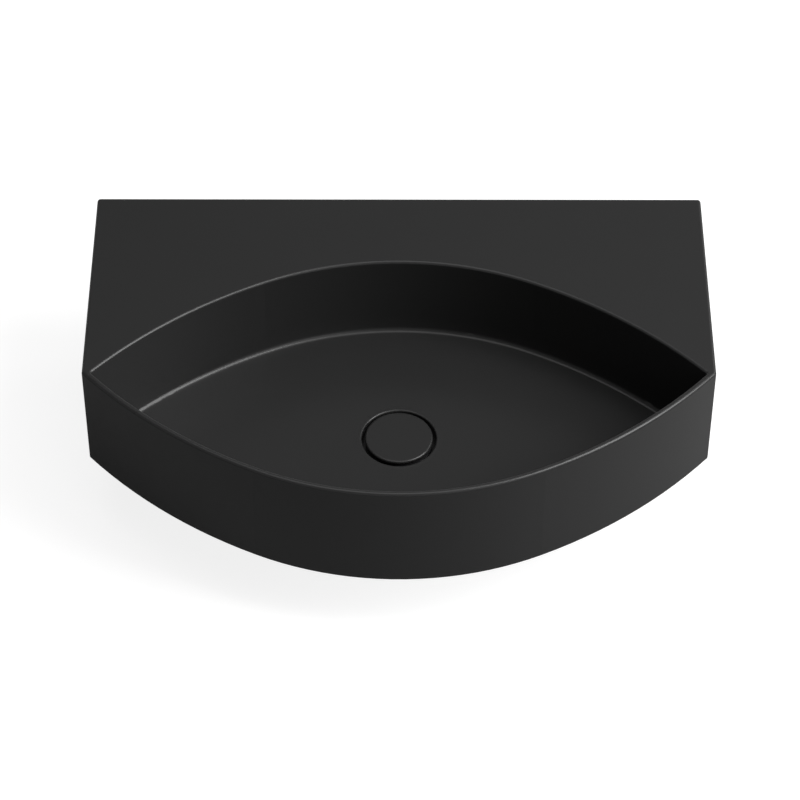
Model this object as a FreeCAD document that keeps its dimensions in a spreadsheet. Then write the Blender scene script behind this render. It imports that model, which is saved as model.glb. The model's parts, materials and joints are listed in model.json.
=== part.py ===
"""Wall-hung washbasin with a lens-shaped bowl and a push-to-open waste.

Millimetres. +Z is up, +X is to the right, the wall is behind at y = 0 and the front faces -Y.
The origin lies on the wall face, midway between the two wall-fixing holes.
"""
import FreeCAD, Part
import math
import os
import types
from enum import IntEnum

import Sketcher

# Driving dimensions, in millimetres; a name ending in share is a ratio

SIZES = {
    # Basin outline, seen from above: a rectangle at the back and a three-centred curve in front
    "half_width": 300.0,
    "side_depth": 240.0,
    "full_depth": 395.0,
    "basin_height": 120.0,
    "crown_radius_share": 1.087,
    "crown_width_share": 0.45,
    # Bowl: a lens whose front curve runs beside the thin front wall
    "deck_depth": 91.0,
    "rim_wall": 6.2,
    "tip_wall": 9.0,
    "bowl_depth": 94.0,
    "floor_wall": 12.0,
    # Hollow underside
    "deck_wall": 12.0,
    "back_wall": 12.0,
    "skirt_wall": 8.0,
    "bowl_wall": 8.0,
    "tip_setback": 14.0,
    # Rounded edges of the ceramic
    "back_corner_radius": 3.2,
    "side_corner_radius": 3.0,
    "tip_radius": 2.0,
    "floor_fillet": 6.0,
    "top_edge_radius": 2.9,
    "rim_round_share": 0.47,
    "tip_round_share": 0.63,
    "base_edge_radius": 1.5,
    "hollow_corner_radius": 5.0,
    "hollow_fillet": 3.5,
    # Wall fixing
    "fixing_height": 60.0,
    "fixing_spacing": 280.0,
    "fixing_hole_radius": 7.0,
    "fixing_boss_radius": 20.0,
    "fixing_boss_height": 6.0,
    # Drain recess and boss
    "drain_depth": 237.7,
    "recess_radius": 36.2,
    "recess_depth": 12.0,
    "recess_edge_radius": 1.5,
    "drain_radius": 22.5,
    "drain_boss_radius": 48.0,
    "drain_boss_height": 10.0,
    "drain_boss_fillet": 3.0,
    # Clearances
    "close_gap": 0.08,
    "free_gap": 0.3,
    # Waste body: flange, threaded tail and spider
    "tail_radius": 20.955,
    "tail_bore_radius": 18.0,
    "tail_length": 82.0,
    "tail_chamfer": 1.0,
    "relief_setback": 1.0,
    "relief_width": 3.0,
    "relief_depth": 1.6,
    "flange_radius": 32.0,
    "flange_thickness": 2.5,
    "flange_edge": 0.8,
    "throat_chamfer": 1.2,
    "spoke_width": 4.0,
    "spider_height": 7.0,
    "spider_hub_radius": 7.0,
    # Gaskets, washer and nut on the tail
    "gasket_radius": 31.0,
    "gasket_thickness": 2.0,
    "lower_gasket_radius": 33.0,
    "lower_gasket_height": 6.0,
    "lower_gasket_bevel": 2.0,
    "slip_washer_radius": 31.0,
    "slip_washer_thickness": 1.5,
    "back_nut_flats": 52.0,
    "back_nut_height": 9.0,
    # Cover and its carrier
    "cap_radius": 33.6,
    "cap_rise": 1.5,
    "cap_thickness": 5.5,
    "cap_edge_radius": 1.3,
    "cap_draw": 2.5,
    "cap_socket_depth": 2.8,
    "bond_thickness": 0.6,
    "carrier_radius": 24.0,
    "carrier_plate": 3.0,
    "plug_radius": 15.0,
    "plug_length": 10.0,
    "seal_groove_radius": 13.0,
    "seal_height": 4.0,
    "seal_lift": 1.5,
    "seal_lip": 0.8,
    "insert_radius": 6.0,
    "insert_height": 8.0,
    # Plunger
    "thread_radius": 4.0,
    "thread_chamfer": 0.6,
    "locknut_flats": 13.0,
    "locknut_height": 4.0,
    "stem_radius": 5.0,
    "piston_radius": 7.0,
    "piston_height": 6.5,
    "crown_bore_radius": 4.0,
    "crown_bore_depth": 3.0,
    "tooth_height": 2.0,
    "tooth_width": 3.2,
    # Travel of the plug
    "press_travel": 1.5,
    "press_gap": 1.0,
    "lift_travel": 9.0,
    # Cartridge
    "collar_flange": 3.0,
    "collar_spigot": 4.0,
    "wiper_wire_radius": 0.75,
    "wiper_depth": 0.7,
    "housing_wall": 1.8,
    "housing_floor": 3.0,
    "stub_length": 14.0,
    "lock_washer_thickness": 1.0,
    "lock_washer_radius": 7.5,
    "lock_notch_width": 1.4,
    "lock_notch_depth": 1.2,
    "cartridge_nut_height": 5.0,
    # Rotor and spring
    "rotor_height": 4.5,
    "rotor_pin_radius": 2.6,
    "rotor_pin_length": 3.5,
    "spring_length": 14.5,
    "spring_wire_radius": 0.45,
    "spring_radius": 4.6,
    # Common to all cuts
    "cut_overrun": 1.0,
}

CROWN_TEETH_CUTS = 3
LOCK_NOTCHES = 8
SPOKES = 3
SPRING_TURNS = 5
SPRING_STEPS = 4
SPRING_SAMPLES = 40
HEX_SIDES = 6
FULL_TURN = 360.0
NUT_CHAMFER_DEGREES = 30.0
TINY = 1e-6


class Axis(IntEnum):
    """How a sketch numbers its own two axes."""

    ACROSS = -1
    ALONG = -2


class Point(IntEnum):
    """How a sketch numbers the points of a curve."""

    START = 1
    END = 2
    CENTRE = 3


class Size:
    """A length that knows its value and the expression that drives it from the sheet."""

    def __init__(self, text, value):
        self.text = text
        self.value = value

    def __add__(self, other):
        return Size(f"({self.text} + {other.text})", self.value + other.value)

    def __sub__(self, other):
        return Size(f"({self.text} - {other.text})", self.value - other.value)

    def __neg__(self):
        return Size(f"(-{self.text})", -self.value)

    def __mul__(self, other):
        if isinstance(other, Size):
            return Size(f"({self.text} * {other.text})", self.value * other.value)
        return Size(f"({self.text} * {other!r})", self.value * other)

    def __truediv__(self, other):
        if isinstance(other, Size):
            return Size(f"({self.text} / {other.text})", self.value / other.value)
        return Size(f"({self.text} / {other!r})", self.value / other)


def smallest(*sizes):
    """The least of several lengths, for a fillet that its wall limits."""
    return Size(f"min({'; '.join(size.text for size in sizes)})", min(size.value for size in sizes))


doc = FreeCAD.newDocument("Washbasin")
sheet = doc.addObject("Spreadsheet::Sheet", "Sizes")
for row, (size_name, size_value) in enumerate(SIZES.items(), start=1):
    sheet.set(f"A{row}", size_name)
    sheet.set(f"B{row}", str(size_value))
    sheet.setAlias(f"B{row}", size_name)
doc.recompute()
S = types.SimpleNamespace(**{name: Size(f"Sizes.{name}", value) for name, value in SIZES.items()})
ZERO = Size("0", 0.0)

# Levels of the ceramic, from the fixing holes

base_level = -S.fixing_height
top_level = S.basin_height - S.fixing_height
floor_level = top_level - S.bowl_depth
floor_underside = floor_level - S.floor_wall
hollow_ceiling = top_level - S.deck_wall
boss_underside = floor_underside - S.drain_boss_height
ledge_level = floor_level - S.recess_depth

# Levels of the waste, each stacked on the last

flange_seat = ledge_level + S.gasket_thickness
cap_bottom = floor_level + S.cap_rise - S.cap_thickness
bond_bottom = cap_bottom + S.cap_socket_depth - S.bond_thickness
carrier_bottom = bond_bottom - S.carrier_plate - S.plug_length
locknut_bottom = carrier_bottom - S.locknut_height
collar_top = locknut_bottom - S.press_travel - S.press_gap
housing_top = collar_top - S.collar_flange
piston_top = housing_top - S.collar_spigot - S.lift_travel - S.free_gap
piston_bottom = piston_top - S.piston_height
rotor_top = piston_bottom - S.free_gap
spring_top = rotor_top - S.rotor_height
spring_bottom = spring_top - S.spring_length
housing_bottom = spring_bottom - S.housing_floor
spider_bottom = housing_bottom - S.spider_height
lock_washer_bottom = spider_bottom - S.lock_washer_thickness
cartridge_nut_bottom = lock_washer_bottom - S.cartridge_nut_height

lower_gasket_bottom = boss_underside - S.lower_gasket_height
slip_washer_bottom = lower_gasket_bottom - S.slip_washer_thickness
back_nut_bottom = slip_washer_bottom - S.back_nut_height


# Sketches

def new_body(label, level=ZERO, depth=ZERO):
    """A sub-part with its own seat: level above the fixing holes, depth in front of the wall."""
    body = doc.addObject("PartDesign::Body", label)
    body.Label = label
    body.setExpression("Placement.Base.y", (-depth).text)
    body.setExpression("Placement.Base.z", level.text)
    return body


def new_sketch(body, name, role="XY_Plane", lift=ZERO):
    """A sketch on one of the body's origin planes, moved along that plane's normal by lift."""
    plane = next(item for item in body.Origin.OriginFeatures if item.Role == role)
    sketch = body.newObject("Sketcher::SketchObject", f"{body.Label}_{name}")
    sketch.AttachmentSupport = [(plane, "")]
    sketch.MapMode = "FlatFace"
    sketch.setExpression("AttachmentOffset.Base.z", lift.text)
    return sketch


def drive(sketch, kind, points, size):
    """Add one dimension between sketch points and tie it to its size."""
    index = sketch.addConstraint(Sketcher.Constraint(kind, *points, size.value))
    sketch.setExpression(f"Constraints[{index}]", size.text)


def hold(sketch, curve, point, across, along):
    """Hold one point of a curve at two driven coordinates."""
    for kind, axis, size in (("DistanceX", Axis.ALONG, across), ("DistanceY", Axis.ACROSS, along)):
        if abs(size.value) < TINY:
            sketch.addConstraint(Sketcher.Constraint("PointOnObject", curve, point, axis))
        else:
            drive(sketch, kind, (Axis.ACROSS, Point.START, curve, point), size)


def add_line(sketch, first, last):
    """A straight line between two points given as pairs of sizes."""
    ends = [FreeCAD.Vector(across.value, along.value, 0) for across, along in (first, last)]
    return sketch.addGeometry(Part.LineSegment(*ends), False)


def add_polygon(sketch, corners):
    """A closed run of straight lines, every corner held by its own sizes."""
    lines = [add_line(sketch, corner, corners[(i + 1) % len(corners)]) for i, corner in enumerate(corners)]
    for i, line in enumerate(lines):
        after = lines[(i + 1) % len(lines)]
        sketch.addConstraint(Sketcher.Constraint("Coincident", line, Point.END, after, Point.START))
        hold(sketch, line, Point.START, *corners[i])


def add_circle(sketch, across, along, radius):
    """A full circle with a driven centre and radius."""
    centre = FreeCAD.Vector(across.value, along.value, 0)
    circle = sketch.addGeometry(Part.Circle(centre, FreeCAD.Vector(0, 0, 1), radius.value), False)
    hold(sketch, circle, Point.CENTRE, across, along)
    drive(sketch, "Radius", (circle,), radius)


def add_arc(sketch, across, along, radius, first, last):
    """An arc drawn anticlockwise between two angles in radians."""
    circle = Part.Circle(FreeCAD.Vector(across, along, 0), FreeCAD.Vector(0, 0, 1), radius)
    return sketch.addGeometry(Part.ArcOfCircle(circle, first, last), False)


def add_bow(sketch, half, base, apex):
    """A three-centred curve over the span from -half to half at y = base, bulging to y = apex.

    A crown arc in the middle runs tangent into two flatter side arcs. Returns the arcs in
    anticlockwise order, so that the first one starts and the last one ends on the span.
    """
    outward = 1 if apex.value > base.value else -1
    rise = (apex - base) * outward
    crown_radius = half * half * S.crown_radius_share / (rise * 2)
    crown_half = half * S.crown_width_share
    crown_centre = apex - crown_radius * outward

    lean = math.asin(crown_half.value / crown_radius.value)
    crown_drop = crown_radius.value * (1 - math.cos(lean))
    run, fall = half.value - crown_half.value, rise.value - crown_drop
    turn = 2 * (math.atan2(fall, run) - lean)
    side_radius = math.hypot(run, fall) / (2 * math.sin(turn / 2))
    side_across = crown_half.value - side_radius * math.sin(lean)
    side_along = apex.value - outward * (crown_drop + side_radius * math.cos(lean))
    middle = outward * math.pi / 2
    side_start, crown_start = middle - lean - turn, middle - lean
    crown_end, side_end = middle + lean, middle + lean + turn

    first = add_arc(sketch, side_across * outward, side_along, side_radius, side_start, crown_start)
    crown = add_arc(sketch, 0, crown_centre.value, crown_radius.value, crown_start, crown_end)
    last = add_arc(sketch, -side_across * outward, side_along, side_radius, crown_end, side_end)

    hold(sketch, crown, Point.CENTRE, ZERO, crown_centre)
    drive(sketch, "Radius", (crown,), crown_radius)
    drive(sketch, "DistanceX", (Axis.ACROSS, Point.START, crown, Point.START), crown_half * outward)
    drive(sketch, "DistanceX", (Axis.ACROSS, Point.START, crown, Point.END), crown_half * -outward)
    sketch.addConstraint(Sketcher.Constraint("Tangent", first, Point.END, crown, Point.START))
    sketch.addConstraint(Sketcher.Constraint("Tangent", crown, Point.END, last, Point.START))
    hold(sketch, first, Point.START, half * outward, base)
    return first, crown, last


def add_slab(sketch, half, back, base, apex):
    """A straight back and sides closed by a bow, as the basin is seen from above."""
    first, _, last = add_bow(sketch, half, base, apex)
    outward = 1 if apex.value > base.value else -1
    near, far = half * -outward, half * outward
    lines = [
        add_line(sketch, (near, base), (near, back)),
        add_line(sketch, (near, back), (far, back)),
        add_line(sketch, (far, back), (far, base)),
    ]
    chain = [last, *lines, first]
    for before, after in zip(chain, chain[1:]):
        sketch.addConstraint(Sketcher.Constraint("Coincident", before, Point.END, after, Point.START))
    hold(sketch, lines[0], Point.START, near, base)
    hold(sketch, lines[1], Point.START, near, back)
    hold(sketch, lines[2], Point.START, far, back)


def add_lens(sketch, half, axis, front, back):
    """Two bows back to back on one span."""
    front_first, _, front_last = add_bow(sketch, half, axis, front)
    back_first, _, back_last = add_bow(sketch, half, axis, back)
    sketch.addConstraint(Sketcher.Constraint("Coincident", front_last, Point.END, back_first, Point.START))
    sketch.addConstraint(Sketcher.Constraint("Coincident", back_last, Point.END, front_first, Point.START))


def add_barrel(sketch, half, front_base, front, back_base, back):
    """Two bows facing away from each other, joined by short straight sides."""
    front_first, _, front_last = add_bow(sketch, half, front_base, front)
    back_first, _, back_last = add_bow(sketch, half, back_base, back)
    right = add_line(sketch, (half, front_base), (half, back_base))
    left = add_line(sketch, (-half, back_base), (-half, front_base))
    chain = [front_last, right, back_first]
    chain_back = [back_last, left, front_first]
    for before, after in (*zip(chain, chain[1:]), *zip(chain_back, chain_back[1:])):
        sketch.addConstraint(Sketcher.Constraint("Coincident", before, Point.END, after, Point.START))


# Features

def add_pad(body, sketch, length, reverse=False):
    """Raise a sketch into a solid, along its normal or against it."""
    pad = body.newObject("PartDesign::Pad", f"{sketch.Name}_pad")
    pad.Profile = sketch
    pad.setExpression("Length", length.text)
    pad.Reversed = reverse
    return pad


def add_pocket(body, sketch, length, reverse=False):
    """Cut a sketch into the body against its normal, or along it; a cut must remove something."""
    doc.recompute()
    before = body.Shape.Volume
    pocket = body.newObject("PartDesign::Pocket", f"{sketch.Name}_pocket")
    pocket.Profile = sketch
    pocket.setExpression("Length", length.text)
    pocket.Reversed = reverse
    doc.recompute()
    if body.Shape.Volume >= before:
        raise ValueError(f"{pocket.Name} removes nothing")
    return pocket


def add_pattern(body, feature, copies, spread):
    """Repeat a feature about the body's own Z axis, spread over an angle in degrees."""
    axis = next(item for item in body.Origin.OriginFeatures if item.Role == "Z_Axis")
    pattern = body.newObject("PartDesign::PolarPattern", f"{feature.Name}_pattern")
    pattern.Originals = [feature]
    pattern.Axis = (axis, [""])
    pattern.Angle = spread
    pattern.Occurrences = copies
    body.Tip = pattern
    return pattern


def round_edges(body, name, radius, chosen):
    """Round the edges of the body, as it stands, for which the test holds."""
    doc.recompute()
    tip = body.Tip
    edges = [f"Edge{i}" for i, edge in enumerate(tip.Shape.Edges, start=1) if chosen(edge)]
    fillet = body.newObject("PartDesign::Fillet", f"{body.Label}_{name}")
    fillet.Base = (tip, edges)
    fillet.setExpression("Radius", radius.text)
    return fillet


def lies_at(level):
    """Test for edges that lie flat at one level."""
    def chosen(edge):
        box = edge.BoundBox
        return abs(box.ZMin - level.value) < TINY and abs(box.ZMax - level.value) < TINY
    return chosen


def ring_at(level, radius):
    """Test for whole circles of one radius that lie flat at one level."""
    flat = lies_at(level)

    def chosen(edge):
        if edge.Degenerated or not flat(edge) or edge.Curve.TypeId != "Part::GeomCircle":
            return False
        return abs(edge.Curve.Radius - radius.value) < TINY
    return chosen


def upright_at(across, along):
    """Test for vertical edges at a plan position and at its mirror image."""
    def chosen(edge):
        box = edge.BoundBox
        straight = box.XLength < TINY and box.YLength < TINY
        return straight and abs(abs(box.XMin) - across.value) < TINY and abs(box.YMin - along.value) < TINY
    return chosen


def upright_between(across, front, back):
    """Test for vertical edges at a distance from the middle, between a front and a back line."""
    def chosen(edge):
        box = edge.BoundBox
        straight = box.XLength < TINY and box.YLength < TINY
        level = abs(abs(box.XMin) - across.value) < TINY
        return straight and level and front.value < box.YMin < back.value
    return chosen


def turned(label, level, half_section):
    """A piece turned about the drain axis from a half section of (radius, height) corners."""
    body = new_body(label, level, S.drain_depth)
    sketch = new_sketch(body, "half_section", "XZ_Plane")
    add_polygon(sketch, half_section)
    turning = body.newObject("PartDesign::Revolution", f"{label}_turning")
    turning.Profile = sketch
    turning.ReferenceAxis = (sketch, ["V_Axis"])
    turning.Angle = FULL_TURN
    return body


def washer(label, level, inner, outer, thickness):
    """A flat ring on the drain axis."""
    return turned(label, level, [(inner, ZERO), (outer, ZERO), (outer, thickness), (inner, thickness)])


def nut(label, level, flats, height, bore):
    """A hexagon nut on the drain axis, with its corners turned off at both faces."""
    body = new_body(label, level, S.drain_depth)
    hexagon = new_sketch(body, "hexagon")
    corner = flats / (2 * math.cos(math.pi / HEX_SIDES))
    angles = [math.radians(FULL_TURN * i / HEX_SIDES) for i in range(HEX_SIDES)]
    add_polygon(hexagon, [(corner * math.cos(angle), corner * math.sin(angle)) for angle in angles])
    add_pad(body, hexagon, height)

    reach = corner + S.cut_overrun
    rise = (reach - flats / 2) * math.tan(math.radians(NUT_CHAMFER_DEGREES))
    for face, start, inward in (("lower", ZERO, rise), ("upper", height, -rise)):
        doc.recompute()
        before = body.Shape.Volume
        sketch = new_sketch(body, f"{face}_chamfer", "XZ_Plane")
        add_polygon(sketch, [(flats / 2, start), (reach, start), (reach, start + inward)])
        groove = body.newObject("PartDesign::Groove", f"{label}_{face}_groove")
        groove.Profile = sketch
        groove.ReferenceAxis = (sketch, ["V_Axis"])
        groove.Angle = FULL_TURN
        doc.recompute()
        if body.Shape.Volume >= before:
            raise ValueError(f"{groove.Name} removes nothing")

    hole = new_sketch(body, "bore", lift=height)
    add_circle(hole, ZERO, ZERO, bore)
    add_pocket(body, hole, height)
    return body


def cut_teeth(body, level, depth):
    """Notch a ring into teeth with V cuts right across it; a negative depth cuts downwards."""
    sketch = new_sketch(body, "tooth", "XZ_Plane")
    half = S.tooth_width / 2
    add_polygon(sketch, [(-half, level), (half, level), (ZERO, level + depth)])
    notch = add_pocket(body, sketch, S.piston_radius * 2 + S.cut_overrun)
    notch.Midplane = True
    between = FULL_TURN / (2 * CROWN_TEETH_CUTS)
    add_pattern(body, notch, CROWN_TEETH_CUTS, between * (CROWN_TEETH_CUTS - 1))


# Ceramic

def make_basin_body():
    """The cast basin: bowl, deck, skirt, hollow underside, drain boss and wall fixing."""
    body = new_body("basin_body")
    axis = -S.side_depth

    outline = new_sketch(body, "outline", lift=base_level)
    add_slab(outline, S.half_width, ZERO, axis, -S.full_depth)
    add_pad(body, outline, S.basin_height)
    round_edges(body, "back_corners", S.back_corner_radius, upright_at(S.half_width, ZERO))
    round_edges(body, "side_corners", S.side_corner_radius, upright_at(S.half_width, axis))
    round_edges(body, "base_edge", S.base_edge_radius, lies_at(base_level))

    hollow_half = S.half_width - S.skirt_wall
    hollow = new_sketch(body, "hollow", lift=base_level)
    add_slab(hollow, hollow_half, -S.back_wall, axis, S.skirt_wall - S.full_depth)
    add_pocket(body, hollow, hollow_ceiling - base_level, reverse=True)
    for name, along in (("back", -S.back_wall), ("skirt", axis)):
        round_edges(body, f"hollow_{name}_corners", S.hollow_corner_radius, upright_at(hollow_half, along))

    sunk = S.skirt_wall / 2
    bowl_half, bowl_front = S.half_width - sunk, sunk - S.full_depth
    bowl_back, wedge = S.bowl_wall - S.deck_depth, S.tip_setback - S.side_depth
    bowl = new_sketch(body, "bowl", lift=hollow_ceiling)
    add_barrel(bowl, bowl_half, axis, bowl_front, wedge, bowl_back)
    add_pad(body, bowl, hollow_ceiling - floor_underside, reverse=True)
    skirt_line, back_line = axis + S.hollow_corner_radius, -S.back_wall - S.hollow_corner_radius
    wedge_corners = upright_between(hollow_half, skirt_line, back_line)
    round_edges(body, "hollow_wedge_corners", S.hollow_corner_radius, wedge_corners)
    round_edges(body, "ceiling_edge", S.hollow_fillet, lies_at(hollow_ceiling))

    lens_half = S.half_width - S.tip_wall
    lens = new_sketch(body, "lens", lift=top_level)
    add_lens(lens, lens_half, axis, S.rim_wall - S.full_depth, -S.deck_depth)
    add_pocket(body, lens, S.bowl_depth)
    round_edges(body, "floor_edge", S.floor_fillet, lies_at(floor_level))
    round_edges(body, "lens_tips", S.tip_radius, upright_at(lens_half, axis))

    drain_axis = -S.drain_depth
    boss = new_sketch(body, "drain_boss", lift=floor_underside)
    add_circle(boss, ZERO, drain_axis, S.drain_boss_radius)
    add_pad(body, boss, S.drain_boss_height, reverse=True)
    round_edges(body, "boss_root", S.drain_boss_fillet, ring_at(floor_underside, S.drain_boss_radius))
    round_edges(body, "boss_edge", S.drain_boss_fillet, ring_at(boss_underside, S.drain_boss_radius))

    recess = new_sketch(body, "drain_recess", lift=floor_level)
    add_circle(recess, ZERO, drain_axis, S.recess_radius)
    add_pocket(body, recess, S.recess_depth)
    drain = new_sketch(body, "drain_bore", lift=ledge_level)
    add_circle(drain, ZERO, drain_axis, S.drain_radius)
    add_pocket(body, drain, ledge_level - boss_underside)
    round_edges(body, "recess_edge", S.recess_edge_radius, ring_at(floor_level, S.recess_radius))

    fixing_half = S.fixing_spacing / 2
    pads = new_sketch(body, "fixing_bosses", "XZ_Plane", lift=S.back_wall)
    holes = new_sketch(body, "fixing_holes", "XZ_Plane")
    for across in (-fixing_half, fixing_half):
        add_circle(pads, across, ZERO, S.fixing_boss_radius)
        add_circle(holes, across, ZERO, S.fixing_hole_radius)
    add_pad(body, pads, S.fixing_boss_height)
    add_pocket(body, holes, S.back_wall + S.fixing_boss_height, reverse=True)

    bulge_share = (S.full_depth - S.side_depth) / S.half_width
    rim_limit, tip_limit = S.rim_wall * S.rim_round_share, S.tip_wall * bulge_share * S.tip_round_share
    round_edges(body, "top_edges", smallest(S.top_edge_radius, rim_limit, tip_limit), lies_at(top_level))
    return body


# Waste, fixed pieces

tail_fit = S.tail_radius + S.free_gap
thread_fit = S.thread_radius + S.close_gap


def make_waste_body():
    """Flange and threaded tail, with a hub on three spokes across the bore to carry the cartridge.

    A relief groove parts the thread that takes the nut from the thread that takes the trap.
    """
    relief_top = back_nut_bottom - flange_seat - S.relief_setback
    relief_bottom = relief_top - S.relief_width
    relief_radius = S.tail_radius - S.relief_depth
    body = turned("waste_body", flange_seat, [
        (S.tail_bore_radius, S.flange_thickness - S.throat_chamfer),
        (S.tail_bore_radius + S.throat_chamfer, S.flange_thickness),
        (S.flange_radius - S.flange_edge, S.flange_thickness),
        (S.flange_radius, S.flange_thickness - S.flange_edge),
        (S.flange_radius, ZERO),
        (S.tail_radius, ZERO),
        (S.tail_radius, relief_top),
        (relief_radius, relief_top),
        (relief_radius, relief_bottom),
        (S.tail_radius, relief_bottom),
        (S.tail_radius, S.tail_chamfer - S.tail_length),
        (S.tail_radius - S.tail_chamfer, -S.tail_length),
        (S.tail_bore_radius, -S.tail_length),
    ])
    spider_top = housing_bottom - flange_seat
    spoke = new_sketch(body, "spoke", lift=spider_top)
    half, root = S.spoke_width / 2, (S.tail_bore_radius + S.tail_radius) / 2
    add_polygon(spoke, [(thread_fit, -half), (root, -half), (root, half), (thread_fit, half)])
    spoke_pad = add_pad(body, spoke, S.spider_height, reverse=True)
    doc.recompute()
    add_pattern(body, spoke_pad, SPOKES, FULL_TURN)
    hub = new_sketch(body, "hub", lift=spider_top)
    add_circle(hub, ZERO, ZERO, S.spider_hub_radius)
    add_pad(body, hub, S.spider_height, reverse=True)
    bore = new_sketch(body, "hub_bore", lift=spider_top)
    add_circle(bore, ZERO, ZERO, thread_fit)
    add_pocket(body, bore, S.spider_height)
    return body


def make_flange_gasket():
    """Soft washer under the flange."""
    return washer("flange_gasket", ledge_level, tail_fit, S.gasket_radius, S.gasket_thickness)


def make_lower_gasket():
    """Thick rubber washer with a bevelled top, pressed against the drain boss."""
    return turned("lower_gasket", lower_gasket_bottom, [
        (tail_fit, ZERO),
        (S.lower_gasket_radius, ZERO),
        (S.lower_gasket_radius, S.lower_gasket_height - S.lower_gasket_bevel),
        (S.lower_gasket_radius - S.lower_gasket_bevel, S.lower_gasket_height),
        (tail_fit, S.lower_gasket_height),
    ])


def make_slip_washer():
    """Thin plastic washer between the rubber and the nut."""
    thickness = S.slip_washer_thickness
    return washer("slip_washer", slip_washer_bottom, tail_fit, S.slip_washer_radius, thickness)


def make_back_nut():
    """Nut that pulls the waste tight from below."""
    bore = S.tail_radius + S.close_gap
    return nut("back_nut", back_nut_bottom, S.back_nut_flats, S.back_nut_height, bore)


# Cartridge, fixed pieces

cartridge_bore = S.piston_radius + S.close_gap
cartridge_radius = cartridge_bore + S.housing_wall


def make_cartridge_housing():
    """Cup for the spring, rotor and piston, with a threaded stub below."""
    height = housing_top - housing_bottom
    return turned("cartridge_housing", housing_bottom, [
        (ZERO, -S.stub_length),
        (S.thread_radius - S.thread_chamfer, -S.stub_length),
        (S.thread_radius, S.thread_chamfer - S.stub_length),
        (S.thread_radius, ZERO),
        (cartridge_radius, ZERO),
        (cartridge_radius, height),
        (cartridge_bore, height),
        (cartridge_bore, S.housing_floor),
        (ZERO, S.housing_floor),
    ])


wiper_radius = S.stem_radius + S.close_gap + S.wiper_wire_radius


def make_cartridge_collar():
    """Collar that closes the cartridge, guides the stem and holds the wiper ring in a groove."""
    guide = S.stem_radius + S.close_gap
    groove = wiper_radius + S.wiper_wire_radius + S.close_gap
    groove_top = S.collar_flange - S.wiper_depth
    groove_bottom = groove_top - (S.wiper_wire_radius + S.close_gap) * 2
    return turned("cartridge_collar", housing_top, [
        (guide, -S.collar_spigot),
        (S.piston_radius, -S.collar_spigot),
        (S.piston_radius, ZERO),
        (cartridge_radius, ZERO),
        (cartridge_radius, S.collar_flange),
        (guide, S.collar_flange),
        (guide, groove_top),
        (groove, groove_top),
        (groove, groove_bottom),
        (guide, groove_bottom),
    ])


def make_collar_wiper():
    """O-ring round the stem."""
    ring = doc.addObject("Part::Torus", "collar_wiper")
    ring.Label = "collar_wiper"
    ring.setExpression("Radius1", wiper_radius.text)
    ring.setExpression("Radius2", S.wiper_wire_radius.text)
    level = collar_top - S.wiper_depth - S.wiper_wire_radius - S.close_gap
    ring.setExpression("Placement.Base.y", (-S.drain_depth).text)
    ring.setExpression("Placement.Base.z", level.text)
    return ring


def make_cartridge_washer():
    """Lock washer with teeth round its edge."""
    thickness = S.lock_washer_thickness
    body = washer("cartridge_washer", lock_washer_bottom, thread_fit, S.lock_washer_radius, thickness)
    notch = new_sketch(body, "notch", lift=thickness)
    half = S.lock_notch_width / 2
    inner, outer = S.lock_washer_radius - S.lock_notch_depth, S.lock_washer_radius + S.cut_overrun
    add_polygon(notch, [(inner, -half), (outer, -half), (outer, half), (inner, half)])
    cut = add_pocket(body, notch, thickness)
    add_pattern(body, cut, LOCK_NOTCHES, FULL_TURN)
    return body


def make_cartridge_nut():
    """Nut that holds the cartridge to the spider."""
    return nut("cartridge_nut", cartridge_nut_bottom, S.locknut_flats, S.cartridge_nut_height, thread_fit)


def biarc(start, start_way, end, end_way):
    """Two tangent arcs from one point and direction to another."""
    chord, ways = end - start, start_way + end_way
    bend = 2 * (1 - start_way.dot(end_way))
    along = chord.dot(ways)
    reach = (math.sqrt(along * along + bend * chord.dot(chord)) - along) / bend
    joint = (start + end + (start_way - end_way) * reach) / 2
    edges = []
    for first, way, last in ((start, start_way, joint), (end, -end_way, joint)):
        span = last - first
        half = span.Length / 2
        straight = FreeCAD.Vector(span).normalize()
        lean = math.acos(max(-1.0, min(1.0, way.dot(straight))))
        side = (way - straight * way.dot(straight)).normalize()
        middle = (first + last) / 2 + side * (half * math.tan(lean / 2))
        edges.append(Part.Arc(first, middle, last).toShape())
    return edges


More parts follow.
